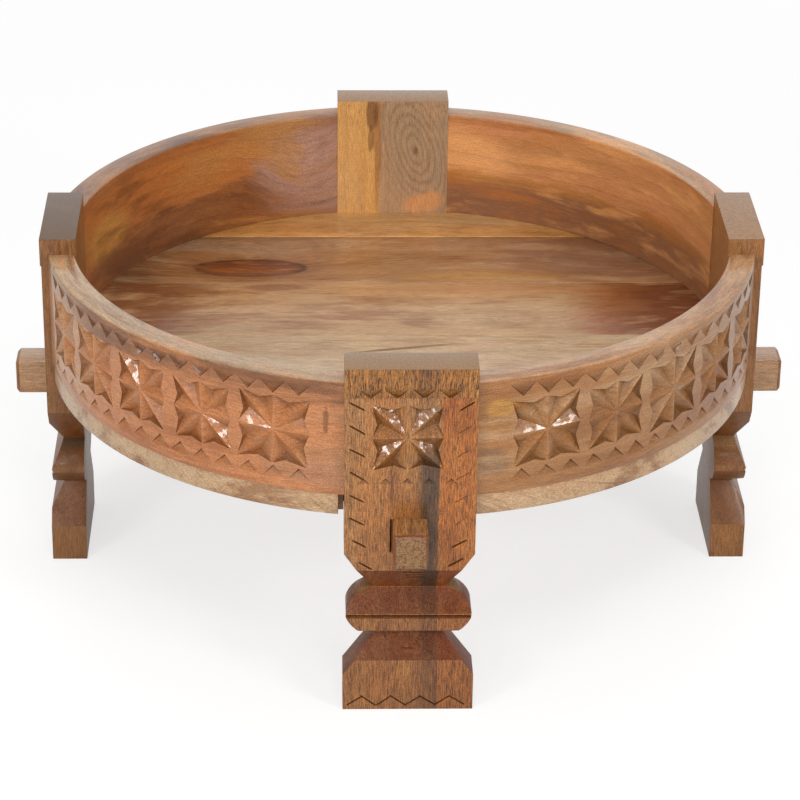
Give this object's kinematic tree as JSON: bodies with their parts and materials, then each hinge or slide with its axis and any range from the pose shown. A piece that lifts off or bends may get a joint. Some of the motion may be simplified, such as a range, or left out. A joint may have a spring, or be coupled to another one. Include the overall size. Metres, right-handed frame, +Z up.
{
  "type": "low tray table",
  "caption": "Low round wooden tray table: carved rim wall on a board floor, held by carved legs that rise past the rim, with crossbeams tenoned through the legs.",
  "frame": {"origin": "on the ground under the middle of the tray", "axes": "+Z up; the front leg stands at -Y and the right leg at +X"},
  "size_m": [0.656, 0.656, 0.3],
  "materials": {
    "leg_wood": "satin lacquer",
    "rim_wood": "satin lacquer",
    "floor_wood": "satin lacquer",
    "beam_wood": "satin lacquer",
    "dowel_wood": "bare wood",
    "screw_steel": "yellow zinc plate"
  },
  "bodies": {
    "root": {"beam_screws": "screw_steel", "crossbeam_front_back": "beam_wood", "crossbeam_left_right": "beam_wood", "dowels_leg_back": "dowel_wood", "dowels_leg_front": "dowel_wood", "dowels_leg_left": "dowel_wood", "dowels_leg_right": "dowel_wood", "floor_board_back_edge": "floor_wood", "floor_board_back_middle": "floor_wood", "floor_board_back_second": "floor_wood", "floor_board_front_edge": "floor_wood", "floor_board_front_middle": "floor_wood", "floor_board_front_second": "floor_wood", "leg_back": "leg_wood", "leg_front": "leg_wood", "leg_left": "leg_wood", "leg_right": "leg_wood", "rim_back_left": "rim_wood", "rim_back_right": "rim_wood", "rim_front_left": "rim_wood", "rim_front_right": "rim_wood", "rim_screws": "screw_steel"}
  },
  "joints": []
}
